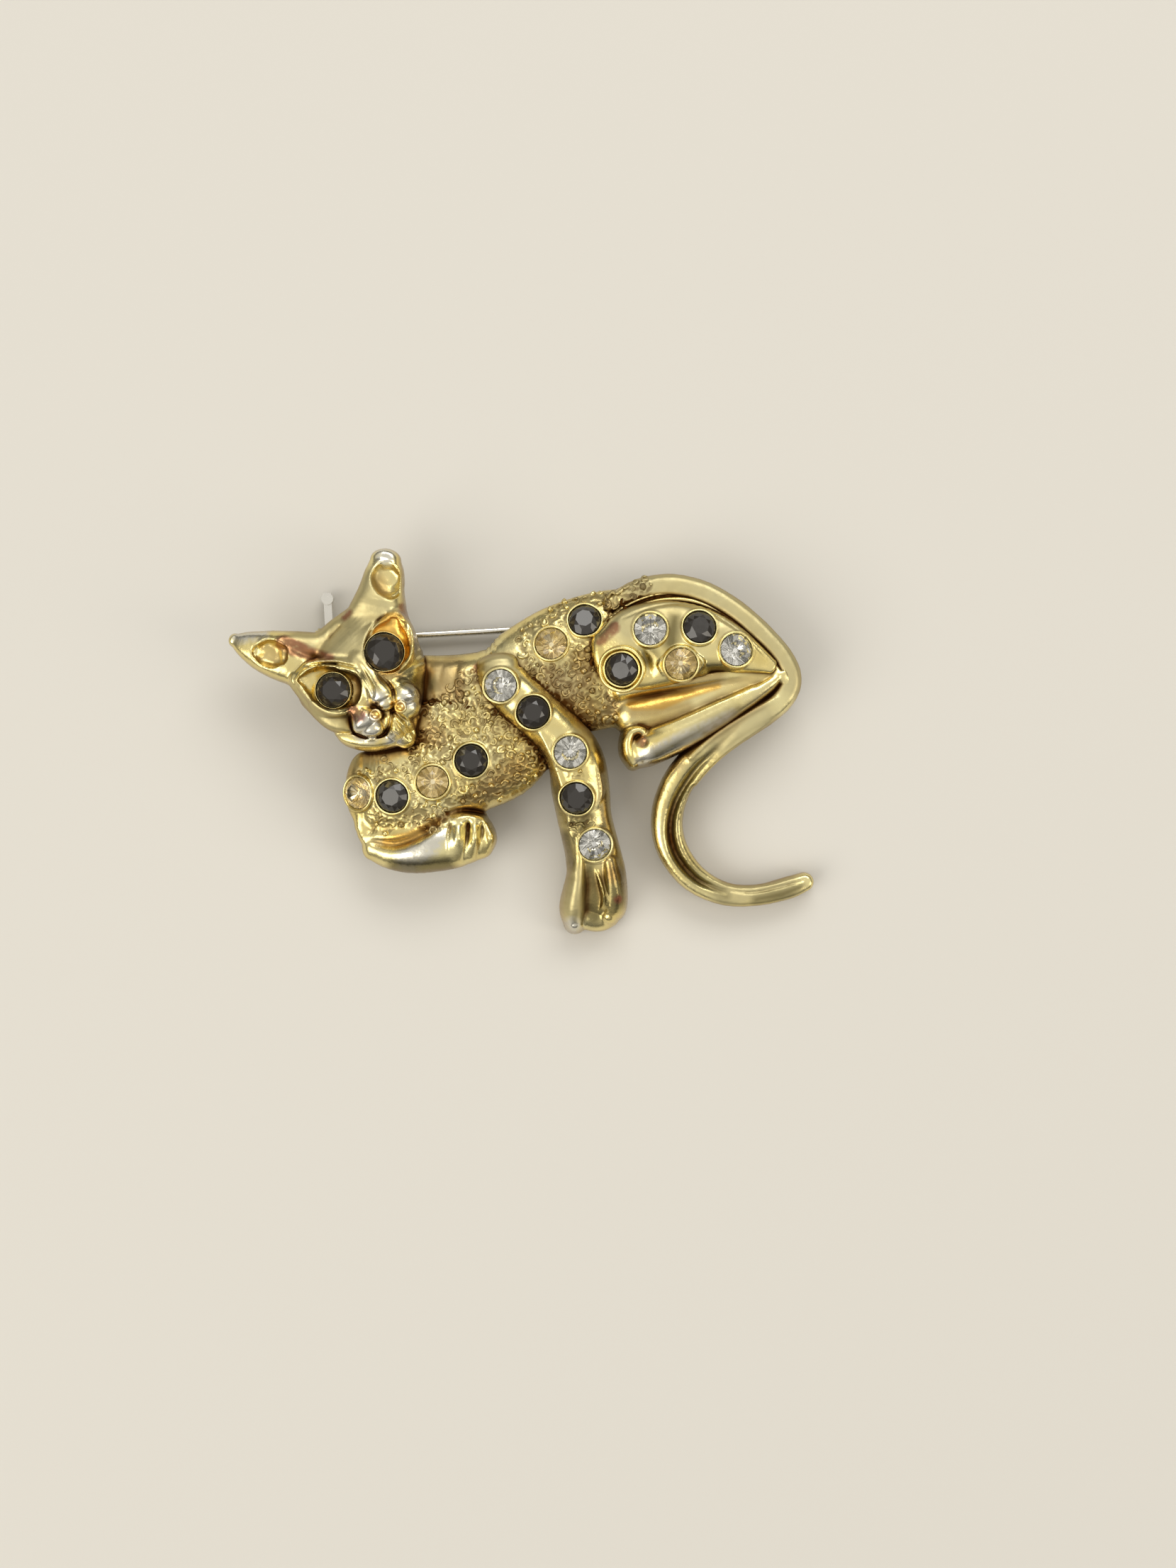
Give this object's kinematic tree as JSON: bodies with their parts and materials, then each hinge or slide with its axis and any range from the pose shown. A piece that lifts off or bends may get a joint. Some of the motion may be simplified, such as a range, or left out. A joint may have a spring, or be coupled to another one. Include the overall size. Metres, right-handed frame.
{
  "type": "figural animal brooch",
  "caption": "Gilt figural brooch of a crouching leopard with a hooked tail, set with round clear and black stones, with a hinged pin and a turning catch behind.",
  "frame": {"origin": "on the surface that the brooch lies on, under the middle of its outline", "axes": "+Z out of the brooch's face, +X towards the tail tip, +Y towards the ears"},
  "size_m": [0.058, 0.0383, 0.0113],
  "materials": {
    "gilt": "worn pale gold plating, polished on the head, limbs and tail and beaded on the chest and back",
    "clear_stone": "clear cut paste with a silvered back",
    "black_stone": "jet black cut paste",
    "pin_metal": "silver-coloured plated steel and white metal"
  },
  "bodies": {
    "brooch": {"casting": "gilt", "far_eye_stone": "black_stone", "near_eye_stone": "black_stone", "chest_stone_1": "clear_stone", "chest_stone_2": "black_stone", "chest_stone_3": "clear_stone", "chest_stone_4": "black_stone", "leg_stone_1": "clear_stone", "leg_stone_2": "black_stone", "leg_stone_3": "clear_stone", "leg_stone_4": "black_stone", "leg_stone_5": "clear_stone", "back_stone_1": "clear_stone", "back_stone_2": "black_stone", "thigh_stone_1": "black_stone", "thigh_stone_2": "clear_stone", "thigh_stone_3": "clear_stone", "thigh_stone_4": "black_stone", "thigh_stone_5": "clear_stone", "hinge_rivet": "pin_metal"},
    "pin": {"pin_stem": "pin_metal"},
    "catch": {"catch_barrel": "pin_metal"}
  },
  "joints": [
    {"name": "pin_swing", "type": "hinge", "parent": "brooch", "child": "pin", "pos_m": [0.01113, 0.01225, 0.00113], "axis": [0.0553, -0.9985, 0], "range_deg": [0, 100]},
    {"name": "catch_turn", "type": "hinge", "parent": "brooch", "child": "catch", "pos_m": [-0.0196, 0.01055, 0.00113], "axis": [-0.9985, -0.0553, 0], "range_deg": [0, 160]}
  ]
}
